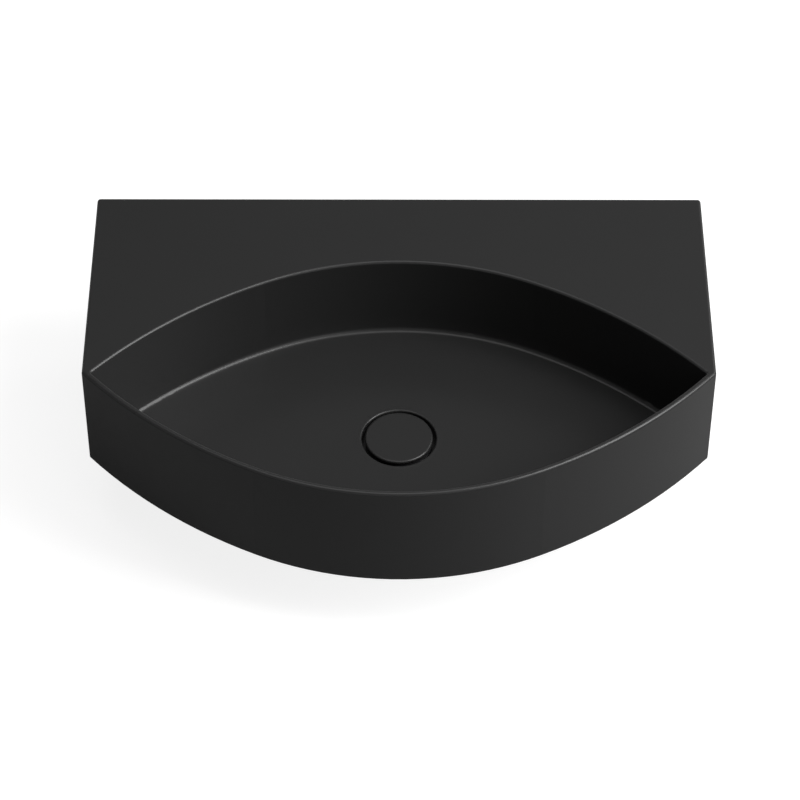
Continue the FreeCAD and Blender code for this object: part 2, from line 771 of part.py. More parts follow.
def make_cartridge_spring():
    """Open-ended compression spring: round wire on a helix from the housing floor to the rotor."""
    wire, radius = S.spring_wire_radius.value, S.spring_radius.value
    bottom = wire + S.close_gap.value
    climb = S.spring_length.value - 2 * bottom
    pitch = climb / SPRING_TURNS

    def point_at(turn):
        angle = 2 * math.pi * turn
        return FreeCAD.Vector(radius * math.cos(angle), radius * math.sin(angle), bottom + pitch * turn)

    def way_at(turn):
        angle = 2 * math.pi * turn
        return FreeCAD.Vector(-math.sin(angle), math.cos(angle), pitch / (2 * math.pi * radius)).normalize()

    turns = [step / SPRING_STEPS for step in range(SPRING_TURNS * SPRING_STEPS + 1)]
    edges = []
    for first, last in zip(turns, turns[1:]):
        edges += biarc(point_at(first), way_at(first), point_at(last), way_at(last))
    path = Part.Wire(Part.__sortEdges__(edges))
    section = Part.Wire(Part.makeCircle(wire, point_at(0), way_at(0)))
    spring = doc.addObject("Part::Feature", "cartridge_spring")
    spring.Label = "cartridge_spring"
    spring.Shape = path.makePipeShell([section], True)
    spring.Placement.Base = FreeCAD.Vector(0, -S.drain_depth.value, spring_bottom.value)

    samples = path.discretize(SPRING_SAMPLES * SPRING_TURNS)
    apart = SPRING_SAMPLES // SPRING_STEPS
    least = min(
        samples[i].distanceToPoint(samples[j])
        for i in range(len(samples))
        for j in range(i + apart, len(samples))
    )
    swept = math.pi * wire ** 2 * path.Length
    print(f"cartridge_spring: least gap to itself {least - 2 * wire:.2f} mm")
    print(f"cartridge_spring: volume {spring.Shape.Volume:.1f}, section times length {swept:.1f}")
    return spring


# Moving plug

def make_waste_cap():
    """Round ceramic cover, drawn in towards its underside, with a socket there for its carrier."""
    socket, underside = S.carrier_radius + S.free_gap, S.cap_radius - S.cap_draw
    body = turned("waste_cap", cap_bottom, [
        (ZERO, S.cap_socket_depth),
        (socket, S.cap_socket_depth),
        (socket, ZERO),
        (underside, ZERO),
        (S.cap_radius, S.cap_thickness),
        (ZERO, S.cap_thickness),
    ])
    round_edges(body, "upper_edge", S.cap_edge_radius, ring_at(S.cap_thickness, S.cap_radius))
    round_edges(body, "lower_edge", S.cap_edge_radius / 2, ring_at(ZERO, underside))
    return body


def make_cap_bond_pad():
    """Thin bonding pad between the cover and its carrier."""
    body = new_body("cap_bond_pad", bond_bottom, S.drain_depth)
    disc = new_sketch(body, "disc")
    add_circle(disc, ZERO, ZERO, S.carrier_radius)
    add_pad(body, disc, S.bond_thickness)
    return body


insert_pocket = S.insert_radius + S.close_gap
seal_seat = S.seal_lift - S.close_gap
seal_top = S.seal_lift + S.seal_height + S.close_gap


def make_cap_carrier():
    """Moulded plate with a plug below it, grooved for the seal and bored for the threaded insert."""
    return turned("cap_carrier", carrier_bottom, [
        (insert_pocket, ZERO),
        (S.plug_radius, ZERO),
        (S.plug_radius, seal_seat),
        (S.seal_groove_radius, seal_seat),
        (S.seal_groove_radius, seal_top),
        (S.plug_radius, seal_top),
        (S.plug_radius, S.plug_length),
        (S.carrier_radius, S.plug_length),
        (S.carrier_radius, S.plug_length + S.carrier_plate),
        (ZERO, S.plug_length + S.carrier_plate),
        (ZERO, S.insert_height),
        (insert_pocket, S.insert_height),
    ])


def make_carrier_insert():
    """Threaded metal bush moulded into the carrier."""
    return washer("carrier_insert", carrier_bottom, thread_fit, S.insert_radius, S.insert_height)


def make_cap_seal():
    """Lip seal in the plug's groove; the lip stands just clear of the waste's bore."""
    inner = S.seal_groove_radius + S.close_gap
    lip = S.tail_bore_radius - S.free_gap
    return turned("cap_seal", carrier_bottom + S.seal_lift, [
        (inner, ZERO),
        (S.plug_radius, ZERO),
        (lip, S.seal_height - S.seal_lip * 2),
        (lip, S.seal_height - S.seal_lip),
        (S.plug_radius + S.seal_lip, S.seal_height - S.seal_lip),
        (S.plug_radius, S.seal_height),
        (inner, S.seal_height),
    ])


def make_plunger():
    """Stem with a threaded tip, a piston and a toothed crown under it."""
    tip = S.locknut_height + S.insert_height - S.free_gap
    shoulder, bottom = piston_top - locknut_bottom, piston_bottom - locknut_bottom
    body = turned("plunger", locknut_bottom, [
        (ZERO, tip),
        (S.thread_radius - S.thread_chamfer, tip),
        (S.thread_radius, tip - S.thread_chamfer),
        (S.thread_radius, ZERO),
        (S.stem_radius, ZERO),
        (S.stem_radius, shoulder),
        (S.piston_radius, shoulder),
        (S.piston_radius, bottom),
        (S.crown_bore_radius, bottom),
        (S.crown_bore_radius, bottom + S.crown_bore_depth),
        (ZERO, bottom + S.crown_bore_depth),
    ])
    cut_teeth(body, bottom, S.tooth_height)
    return body


def make_plunger_locknut():
    """Nut that locks the carrier on the stem."""
    return nut("plunger_locknut", locknut_bottom, S.locknut_flats, S.locknut_height, thread_fit)


def make_cam_rotor():
    """Toothed ring under the crown, with a pin that centres the spring."""
    radius = S.piston_radius - S.free_gap
    body = turned("cam_rotor", spring_top, [
        (ZERO, -S.rotor_pin_length),
        (S.rotor_pin_radius, -S.rotor_pin_length),
        (S.rotor_pin_radius, ZERO),
        (radius, ZERO),
        (radius, S.rotor_height),
        (S.crown_bore_radius, S.rotor_height),
        (S.crown_bore_radius, S.rotor_height - S.crown_bore_depth),
        (ZERO, S.rotor_height - S.crown_bore_depth),
    ])
    cut_teeth(body, S.rotor_height, -S.tooth_height)
    return body


pieces = [
    make_basin_body(),
    make_waste_body(),
    make_flange_gasket(),
    make_lower_gasket(),
    make_slip_washer(),
    make_back_nut(),
    make_cartridge_housing(),
    make_cartridge_collar(),
    make_collar_wiper(),
    make_cartridge_washer(),
    make_cartridge_nut(),
    make_cartridge_spring(),
    make_waste_cap(),
    make_cap_bond_pad(),
    make_cap_carrier(),
    make_carrier_insert(),
    make_cap_seal(),
    make_plunger(),
    make_plunger_locknut(),
    make_cam_rotor(),
]
doc.recompute()

# Every object is sound before anything is written

for item in doc.Objects:
    if {"Invalid", "Error"} & set(item.State):
        raise ValueError(f"{item.Name} failed: {item.State}")
for piece in pieces:
    if piece.Shape.isNull() or not piece.Shape.isValid() or len(piece.Shape.Solids) != 1:
        raise ValueError(f"{piece.Label} is not one sound solid")

os.makedirs("parts", exist_ok=True)
for piece in pieces:
    piece.Shape.exportStep(os.path.join("parts", f"{piece.Label}.step"))
    print(f"{piece.Label}: {piece.Shape.Volume / 1000:.2f} cm3")
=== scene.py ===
"""Finishes, threads, glazed edges, light and camera for a wall-hung washbasin with a push-to-open waste.

Metres, in the part's own frame: +Z is up, +X is to the right, the wall is behind at y = 0.
"""
import json
import math

import bpy
from mathutils import Matrix, Vector


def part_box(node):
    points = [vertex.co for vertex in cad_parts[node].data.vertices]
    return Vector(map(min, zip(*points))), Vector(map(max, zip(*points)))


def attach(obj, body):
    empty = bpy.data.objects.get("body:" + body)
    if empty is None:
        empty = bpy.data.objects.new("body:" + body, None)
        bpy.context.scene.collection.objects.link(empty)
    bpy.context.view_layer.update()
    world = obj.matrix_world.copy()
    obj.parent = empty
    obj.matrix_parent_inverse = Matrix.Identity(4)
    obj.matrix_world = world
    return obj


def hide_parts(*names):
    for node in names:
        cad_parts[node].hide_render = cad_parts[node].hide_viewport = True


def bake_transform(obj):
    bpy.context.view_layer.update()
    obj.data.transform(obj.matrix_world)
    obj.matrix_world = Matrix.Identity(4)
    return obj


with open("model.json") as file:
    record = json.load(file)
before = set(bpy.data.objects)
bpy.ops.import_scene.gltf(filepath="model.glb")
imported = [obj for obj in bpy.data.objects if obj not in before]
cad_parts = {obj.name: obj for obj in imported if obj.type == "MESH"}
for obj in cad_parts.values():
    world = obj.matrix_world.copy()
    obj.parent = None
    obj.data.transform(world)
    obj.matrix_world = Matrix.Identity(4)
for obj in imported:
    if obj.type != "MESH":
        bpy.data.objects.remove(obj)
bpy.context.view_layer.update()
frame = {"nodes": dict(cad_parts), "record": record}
nodes = frame["nodes"]

MM = 0.001
FULL_TURN = 2 * math.pi
QUARTER_TURN = math.pi / 2

# Places read from the frame

tail_low, tail_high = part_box("waste_body")
washer_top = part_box("cartridge_washer")[1].z
spring_low, spring_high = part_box("cartridge_spring")
gasket_low, gasket_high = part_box("lower_gasket")
nut_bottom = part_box("back_nut")[0].z
basin_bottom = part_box("basin_body")[0].z
cover_low, cover_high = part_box("waste_cap")
drain = (tail_low + tail_high) / 2
drain_axis = Vector((drain.x, drain.y, 0))

# Fineness of the modelled meshes

TURNING_STEPS = 96
MERGE_DISTANCE = 0.001 * MM
SMOOTH_ANGLE = math.radians(32)


# Modelling by hand

def start_point(place):
    """Begin a mesh as one point: a small plane drawn together to its centre, left in edit mode."""
    bpy.ops.object.select_all(action="DESELECT")
    bpy.ops.mesh.primitive_plane_add(size=MM, location=place, enter_editmode=True)
    bpy.ops.mesh.merge(type="CENTER")
    return bpy.context.object


def select_points(test):
    """In edit mode, select just the points whose place passes the test."""
    piece = bpy.context.object
    bpy.ops.mesh.select_all(action="DESELECT")
    bpy.ops.object.mode_set(mode="OBJECT")
    for point in piece.data.vertices:
        point.select = test(point.co)
    bpy.ops.object.mode_set(mode="EDIT")


def draw_section(corners, angle=0):
    """Move the point to the first (radius, height) corner, extrude it through the others and close."""
    outwards = Vector((math.cos(angle), math.sin(angle), 0))
    places = [outwards * radius + Vector((0, 0, height)) for radius, height in corners]
    bpy.ops.transform.translate(value=places[0])
    for here, there in zip(places, places[1:]):
        bpy.ops.mesh.extrude_vertices_move(TRANSFORM_OT_translate={"value": there - here})
    ends = (places[0], places[-1])
    select_points(lambda place: any((place - end).length < MERGE_DISTANCE for end in ends))
    bpy.ops.mesh.edge_face_add()
    bpy.ops.mesh.select_all(action="SELECT")


def close_mesh(piece, name):
    """Merge doubled points, turn the faces outwards and leave edit mode with the place in the mesh."""
    bpy.ops.mesh.select_all(action="SELECT")
    bpy.ops.mesh.remove_doubles(threshold=MERGE_DISTANCE)
    bpy.ops.mesh.delete_loose()
    bpy.ops.mesh.select_all(action="SELECT")
    bpy.ops.mesh.normals_make_consistent(inside=False)
    bpy.ops.object.mode_set(mode="OBJECT")
    bpy.ops.object.transform_apply(location=True, rotation=True, scale=True)
    piece.name = name
    return piece


def turn_piece(name, corners):
    """Turn a closed half section of (radius, height) corners about the drain axis."""
    piece = start_point(drain_axis)
    draw_section(corners)
    bpy.ops.mesh.spin(steps=TURNING_STEPS, angle=FULL_TURN, center=drain_axis, axis=(0, 0, 1))
    return close_mesh(piece, name)


def apply_modifier(piece, kind, **settings):
    """Add a modifier with its settings and apply it."""
    bpy.context.view_layer.objects.active = piece
    modifier = piece.modifiers.new(kind.lower(), kind)
    for name, value in settings.items():
        setattr(modifier, name, value)
    bpy.ops.object.modifier_apply(modifier=modifier.name)


def join_or_cut(piece, tool, operation):
    """Unite a piece with a tool body or cut the tool out of it, and delete the tool."""
    apply_modifier(piece, "BOOLEAN", operation=operation, object=tool, solver="EXACT")
    bpy.data.objects.remove(tool)


def wind(place, corners, pitch, turns, steps, name):
    """Wind a closed section about an upright axis through place, and close both ends."""
    piece = start_point(place)
    draw_section(corners)
    bpy.ops.object.mode_set(mode="OBJECT")
    apply_modifier(piece, "SCREW", axis="Z", angle=FULL_TURN, screw_offset=pitch, iterations=turns,
                   steps=steps, render_steps=steps,
                   use_merge_vertices=True, merge_threshold=MERGE_DISTANCE)
    bpy.ops.object.mode_set(mode="EDIT")
    bpy.ops.mesh.select_all(action="SELECT")
    bpy.ops.mesh.fill_holes(sides=len(corners))
    return close_mesh(piece, name)


def smooth_by_angle(piece):
    """Shade a piece smooth, apart from its sharp edges."""
    bpy.ops.object.select_all(action="DESELECT")
    piece.select_set(True)
    bpy.context.view_layer.objects.active = piece
    bpy.ops.object.shade_smooth_by_angle(angle=SMOOTH_ANGLE)


def quarter_angles(steps):
    """Angles from nothing to a quarter turn."""
    return [QUARTER_TURN * step / steps for step in range(steps + 1)]


def inner_shares(steps):
    """Even shares between nothing and one, without the two ends."""
    return [step / steps for step in range(1, steps)]


# Threaded tail with its flange, on the standard pipe thread of basin wastes, G 1 1/4

TAIL_RADIUS = 20.955 * MM
TAIL_BORE_RADIUS = 18 * MM
TAIL_CHAMFER = 1.6 * MM
THREAD_PITCH = 2.309 * MM
THREAD_DEPTH = 1.479 * MM
THREAD_FLAT = THREAD_PITCH / 6
THREAD_STEPS = 72
FLANGE_RADIUS = (tail_high.x - tail_low.x) / 2
FLANGE_THICKNESS = 2.5 * MM
FLANGE_EDGE = 0.8 * MM
THROAT_CHAMFER = 1.2 * MM
RELIEF_SETBACK = 1 * MM
RELIEF_WIDTH = 3 * MM
RELIEF_DEPTH = 1.6 * MM
RELIEF_RADIUS = TAIL_RADIUS - RELIEF_DEPTH
CUT_CLEAR = 0.25 * MM
PLAIN_NECK = 3 * MM

# Spider across the bore, which stands on the cartridge's washer

SPIDER_HEIGHT = 7 * MM
SPOKES = 3
SPOKE_WIDTH = 4 * MM
SPOKE_ROUND = 1.3 * MM
SPOKE_ROUND_STEPS = 4
HUB_RADIUS = 7 * MM
HUB_BORE_RADIUS = 4.08 * MM
HUB_CHAMFER = 0.5 * MM

flange_seat = tail_high.z - FLANGE_THICKNESS
spider_bottom = washer_top
spider_top = spider_bottom + SPIDER_HEIGHT


def turn_tail():
    """Flange and plain tail turned in one, with a relief groove under the nut."""
    relief_top = nut_bottom - RELIEF_SETBACK
    relief_bottom = relief_top - RELIEF_WIDTH
    return turn_piece("threaded_tail", [
        (TAIL_BORE_RADIUS, tail_high.z - THROAT_CHAMFER),
        (TAIL_BORE_RADIUS + THROAT_CHAMFER, tail_high.z),
        (FLANGE_RADIUS - FLANGE_EDGE, tail_high.z),
        (FLANGE_RADIUS, tail_high.z - FLANGE_EDGE),
        (FLANGE_RADIUS, flange_seat),
        (TAIL_RADIUS, flange_seat),
        (TAIL_RADIUS, relief_top),
        (RELIEF_RADIUS, relief_top),
        (RELIEF_RADIUS, relief_bottom),
        (TAIL_RADIUS, relief_bottom),
        (TAIL_RADIUS, tail_low.z + TAIL_CHAMFER),
        (TAIL_RADIUS - TAIL_CHAMFER, tail_low.z),
        (TAIL_BORE_RADIUS, tail_low.z),
    ])


def make_spoke():
    """One spoke of the spider, its upper edges rounded so that hair and water slip off."""
    inner, outer = (HUB_BORE_RADIUS + HUB_RADIUS) / 2, (TAIL_BORE_RADIUS + RELIEF_RADIUS) / 2
    middle = (spider_top + spider_bottom) / 2
    bpy.ops.object.select_all(action="DESELECT")
    bpy.ops.mesh.primitive_cube_add(size=1, location=drain_axis, enter_editmode=True)
    bpy.ops.transform.resize(value=(outer - inner, SPOKE_WIDTH, SPIDER_HEIGHT))
    bpy.ops.transform.translate(value=((outer + inner) / 2, 0, middle))
    spoke = bpy.context.object
    select_points(lambda place: place.z > middle)
    bpy.ops.mesh.bevel(offset=SPOKE_ROUND, segments=SPOKE_ROUND_STEPS, affect="EDGES")
    return close_mesh(spoke, "spoke")


def turn_hub():
    """The ring in the middle of the spider that holds the cartridge's stub."""
    return turn_piece("hub", [
        (HUB_BORE_RADIUS, spider_top),
        (HUB_RADIUS - HUB_CHAMFER, spider_top),
        (HUB_RADIUS, spider_top - HUB_CHAMFER),
        (HUB_RADIUS, spider_bottom + HUB_CHAMFER),
        (HUB_RADIUS - HUB_CHAMFER, spider_bottom),
        (HUB_BORE_RADIUS, spider_bottom),
    ])


def wind_thread_cutter():
    """The thread's groove as a body, open a little wider and further out than the tail's surface."""
    root, outside = TAIL_RADIUS - THREAD_DEPTH, TAIL_RADIUS + CUT_CLEAR
    flank = (THREAD_PITCH - THREAD_FLAT * 2) / 2 / THREAD_DEPTH
    half_root, half_open = THREAD_FLAT / 2, THREAD_FLAT / 2 + flank * (outside - root)
    groove = [(root, half_root), (root, -half_root), (outside, -half_open), (outside, half_open)]
    turns = math.floor((flange_seat - PLAIN_NECK - tail_low.z) / THREAD_PITCH)
    start = drain_axis + Vector((0, 0, tail_low.z - THREAD_PITCH))
    return wind(start, groove, THREAD_PITCH, turns, THREAD_STEPS, "thread_cutter")


def make_tail():
    """The turned tail, with its spider joined in and the thread cut round the outside."""
    tail = turn_tail()
    spoke = make_spoke()
    for number in range(SPOKES):
        copy = spoke.copy()
        copy.data = spoke.data.copy()
        bpy.context.scene.collection.objects.link(copy)
        turn = Matrix.Rotation(FULL_TURN * number / SPOKES, 4, "Z")
        copy.data.transform(Matrix.Translation(drain_axis) @ turn @ Matrix.Translation(-drain_axis))
        join_or_cut(tail, copy, "UNION")
    bpy.data.objects.remove(spoke)
    join_or_cut(tail, turn_hub(), "UNION")
    join_or_cut(tail, wind_thread_cutter(), "DIFFERENCE")
    # The cut leaves a few faces with no area, which would spoil the mesh
    bpy.ops.object.mode_set(mode="EDIT")
    bpy.ops.mesh.select_all(action="SELECT")
    bpy.ops.mesh.dissolve_degenerate(threshold=MERGE_DISTANCE)
    bpy.ops.object.mode_set(mode="OBJECT")
    smooth_by_angle(tail)
    return tail


tail = make_tail()
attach(tail, "basin")
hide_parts("waste_body")


# Spring under the rotor

SPRING_TURNS = 5
SPRING_STEPS = 40
SPRING_WIRE_RADIUS = 0.45 * MM
SPRING_WIRE_SIDES = 16
SPRING_GRIND = 0.2 * MM


def make_spring():
    """Round wire wound five times, both ends ground flat where they bear on the rotor and the cup."""
    radius = (spring_high.x - spring_low.x) / 2 - SPRING_WIRE_RADIUS
    climb = spring_high.z - spring_low.z - 2 * SPRING_WIRE_RADIUS
    angles = [FULL_TURN * side / SPRING_WIRE_SIDES for side in range(SPRING_WIRE_SIDES)]
    wire = [
        (radius + SPRING_WIRE_RADIUS * math.cos(a), SPRING_WIRE_RADIUS * math.sin(a)) for a in angles
    ]
    foot = drain_axis + Vector((0, 0, spring_low.z + SPRING_WIRE_RADIUS))
    spring = wind(foot, wire, climb / SPRING_TURNS, SPRING_TURNS, SPRING_STEPS, "spring_coil")
    bpy.ops.object.mode_set(mode="EDIT")
    for level, upwards in ((spring_low.z + SPRING_GRIND, -1), (spring_high.z - SPRING_GRIND, 1)):
        bpy.ops.mesh.select_all(action="SELECT")
        bpy.ops.mesh.bisect(plane_co=(0, 0, level), plane_no=(0, 0, upwards),
                            use_fill=True, clear_outer=True)
    close_mesh(spring, "spring_coil")
    smooth_by_angle(spring)
    return spring


spring = make_spring()
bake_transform(spring)
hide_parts("cartridge_spring")


# Gasket under the drain boss

GASKET_BEVEL = 2 * MM
GASKET_BORE_CLEARANCE = 0.1 * MM
GASKET_BULGE = 0.6 * MM
GASKET_ROUND = 0.5 * MM
GASKET_ROUND_STEPS = 3
GASKET_ROUND_ANGLE = math.radians(20)


def make_gasket():
    """Thick rubber ring that bulges a little where the nut squeezes it, with moulded round edges."""
    outer = (gasket_high.x - gasket_low.x) / 2
    bore = TAIL_RADIUS + GASKET_BORE_CLEARANCE
    bottom, top = gasket_low.z, gasket_high.z
    shoulder = top - GASKET_BEVEL
    gasket = turn_piece("moulded_gasket", [
        (bore, bottom),
        (outer - GASKET_BULGE, bottom),
        (outer, (bottom + shoulder) / 2),
        (outer - GASKET_BULGE, shoulder),
        (outer - GASKET_BULGE - GASKET_BEVEL, top),
        (bore, top),
    ])
    apply_modifier(gasket, "BEVEL", width=GASKET_ROUND, segments=GASKET_ROUND_STEPS,
                   limit_method="ANGLE", angle_limit=GASKET_ROUND_ANGLE)
    smooth_by_angle(gasket)
    return gasket


gasket = make_gasket()
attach(gasket, "basin")
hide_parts("lower_gasket")


# Glaze pooled in the corner between the bowl's wall and floor, along the two bows of its lens.
# A bow is a crown arc that runs into two flatter side arcs.

BOWL_FLOOR = -34 * MM
LENS_HALF = 291 * MM
LENS_AXIS = -240 * MM
REAR_APEX = -91 * MM
FRONT_APEX = -388.8 * MM
CROWN_RADIUS_SHARE = 1.087
CROWN_WIDTH_SHARE = 0.45
POOL_RADIUS = 5.5 * MM
POOL_THICKNESS = 0.6 * MM
POOL_CLIMB = 16 * MM
POOL_RUN = 28 * MM
POOL_BURIED = 1.5 * MM
POOL_OVERRUN = 3 * MM
POOL_STEP = 6 * MM
GLAZE_ARC_STEPS = 12
GLAZE_RUN_STEPS = 5


def pool_section(wall_radius):
    """A thin crescent: a round hollow that thins out to nothing up the wall and along the floor."""
    hollow_radius = wall_radius - POOL_THICKNESS - POOL_RADIUS
    hollow_height = BOWL_FLOOR + POOL_THICKNESS + POOL_RADIUS
    buried_radius, buried_height = wall_radius + POOL_BURIED, BOWL_FLOOR - POOL_BURIED
    top, inner = hollow_height + POOL_CLIMB, hollow_radius - POOL_RUN
    shares = inner_shares(GLAZE_RUN_STEPS)
    down_the_wall = [
        (wall_radius - POOL_THICKNESS * share ** 2, top - POOL_CLIMB * share) for share in shares
    ]
    round_the_hollow = [
        (hollow_radius + POOL_RADIUS * math.cos(a), hollow_height - POOL_RADIUS * math.sin(a))
        for a in quarter_angles(GLAZE_ARC_STEPS)
    ]
    along_the_floor = [
        (hollow_radius - POOL_RUN * share, BOWL_FLOOR + POOL_THICKNESS * (1 - share) ** 2)
        for share in shares
    ]
    return [
        (wall_radius, top),
        *down_the_wall,
        *round_the_hollow,
        *along_the_floor,
        (inner, BOWL_FLOOR),
        (inner, buried_height),
        (buried_radius, buried_height),
        (buried_radius, top),
    ]


def make_glaze_pool(name, apex):
    """Sweep the crescent along one bow of the lens, its ends run on into the wall behind the tips."""
    outward = 1 if apex > LENS_AXIS else -1
    rise = abs(apex - LENS_AXIS)
    crown_radius = LENS_HALF ** 2 * CROWN_RADIUS_SHARE / (2 * rise)
    crown_half = LENS_HALF * CROWN_WIDTH_SHARE
    lean = math.asin(crown_half / crown_radius)
    crown_drop = crown_radius * (1 - math.cos(lean))
    run, fall = LENS_HALF - crown_half, rise - crown_drop
    turn = 2 * (math.atan2(fall, run) - lean)
    side_radius = math.hypot(run, fall) / (2 * math.sin(turn / 2))
    side_across = (crown_half - side_radius * math.sin(lean)) * outward
    side_along = apex - outward * (crown_drop + side_radius * math.cos(lean))
    first_centre = Vector((side_across, side_along, 0))
    crown_centre = Vector((0, apex - outward * crown_radius, 0))
    last_centre = Vector((-side_across, side_along, 0))

    side_sweep = turn + POOL_OVERRUN / side_radius
    section = pool_section(side_radius)
    pool = start_point(first_centre)
    draw_section(section, outward * QUARTER_TURN - lean - side_sweep)
    sweeps = [
        (first_centre, side_radius, side_sweep),
        (crown_centre, crown_radius, 2 * lean),
        (last_centre, side_radius, side_sweep),
    ]
    for centre, radius, sweep in sweeps:
        steps = math.ceil(sweep * radius / POOL_STEP)
        bpy.ops.mesh.spin(steps=steps, angle=-sweep, center=centre, axis=(0, 0, 1))
    bpy.ops.mesh.select_all(action="SELECT")
    bpy.ops.mesh.fill_holes(sides=len(section))
    close_mesh(pool, name)
    smooth_by_angle(pool)
    return pool


glaze_pools = [
    make_glaze_pool("glaze_pool_rear", REAR_APEX),
    make_glaze_pool("glaze_pool_front", FRONT_APEX),
]
for pool in glaze_pools:
    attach(pool, "basin")


# Waste cover, and the glaze that rolls over the edge of the hole round it

COVER_EDGE = 2 * MM
COVER_ARC_STEPS = 10
COVER_FLAT = 0.4 * MM
COVER_DRAW = 2.5 * MM
COVER_SOCKET_RADIUS = 24.3 * MM
COVER_SOCKET_DEPTH = 2.8 * MM
HOLE_RADIUS = 36.2 * MM
HOLE_EDGE = 1.5 * MM
ROLL_THICKNESS = 0.15 * MM
ROLL_RUN = 5 * MM
ROLL_DROP = 3 * MM
ROLL_BURIED = 0.8 * MM


def make_cover():
    """The glazed cover: a flat top that rolls over at its edge, a drawn-in side and a socket below."""
    radius = (cover_high.x - cover_low.x) / 2
    top, bottom = cover_high.z, cover_low.z
    middle_radius, middle_height = radius - COVER_EDGE, top - COVER_EDGE
    rolled_edge = [
        (middle_radius + COVER_EDGE * math.sin(a), middle_height + COVER_EDGE * math.cos(a))
        for a in quarter_angles(COVER_ARC_STEPS)
    ]
    cover = turn_piece("glazed_cover", [
        (0, top),
        (middle_radius - COVER_FLAT, top),
        *rolled_edge,
        (radius - COVER_DRAW, bottom),
        (COVER_SOCKET_RADIUS, bottom),
        (COVER_SOCKET_RADIUS, bottom + COVER_SOCKET_DEPTH),
        (0, bottom + COVER_SOCKET_DEPTH),
    ])
    smooth_by_angle(cover)
    return cover


def make_hole_roll():
    """Glaze rolled over the edge of the drain hole, thinning out along the floor and down the wall."""
    middle_radius, middle_height = HOLE_RADIUS + HOLE_EDGE, BOWL_FLOOR - HOLE_EDGE
    reach = HOLE_EDGE + ROLL_THICKNESS
    outer, foot = middle_radius + ROLL_RUN, middle_height - ROLL_DROP
    shares = inner_shares(GLAZE_RUN_STEPS)
    along_the_floor = [
        (outer - ROLL_RUN * share, BOWL_FLOOR + ROLL_THICKNESS * share ** 2) for share in shares
    ]
    over_the_edge = [
        (middle_radius - reach * math.sin(a), middle_height + reach * math.cos(a))
        for a in quarter_angles(GLAZE_ARC_STEPS)
    ]
    down_the_wall = [
        (HOLE_RADIUS - ROLL_THICKNESS * (1 - share) ** 2, middle_height - ROLL_DROP * share)
        for share in shares
    ]
    roll = turn_piece("glaze_roll", [
        (outer, BOWL_FLOOR),
        *along_the_floor,
        *over_the_edge,
        *down_the_wall,
        (HOLE_RADIUS, foot),
        (HOLE_RADIUS + ROLL_BURIED, foot),
        (outer, BOWL_FLOOR - ROLL_BURIED),
    ])
    smooth_by_angle(roll)
    return roll


cover = make_cover()
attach(cover, "plug")
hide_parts("waste_cap")
hole_roll = make_hole_roll()
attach(hole_roll, "basin")


# Colours and nodes

def linear(hex_colour):
    """Linear RGBA of an sRGB hex colour."""
    channels = [int(hex_colour[i:i + 2], 16) / 255 for i in (1, 3, 5)]
    return [c / 12.92 if c <= 0.04045 else ((c + 0.055) / 1.055) ** 2.4 for c in channels] + [1.0]


def add_node(tree, kind, inputs=None, **settings):
    """Add a node with its settings, and set or link its inputs by name or number."""
    node = tree.nodes.new(kind)
    for name, value in settings.items():
        setattr(node, name, value)
    for name, value in (inputs or {}).items():
        if isinstance(value, bpy.types.NodeSocket):
            tree.links.new(value, node.inputs[name])
        else:
            node.inputs[name].default_value = value
    return node


def new_material(name):
    """An empty material; returns it with its node tree and the coordinates of the piece."""
    material = bpy.data.materials.new(name)
    material.use_nodes = True
    tree = material.node_tree
    tree.nodes.clear()
    return material, tree, add_node(tree, "ShaderNodeTexCoord").outputs["Object"]


def finish_material(tree, shader):
    """Link the last shader to the material's output."""
    add_node(tree, "ShaderNodeOutputMaterial", {"Surface": shader.outputs[0]})


# Finishes

GLAZE_PEEL = 1.4 * MM
GLAZE_PEEL_HEIGHT = 0.004 * MM
GLAZE_CLOUD = 60 * MM
GLAZE_ROUGHNESS = (0.28, 0.30)
FOOT_BAND = 0.6 * MM
FOOT_WANDER = 0.5 * MM
FOOT_WANDER_LENGTH = 9 * MM
BISCUIT_GRIT = 0.5 * MM
BISCUIT_GRIT_HEIGHT = 0.03 * MM


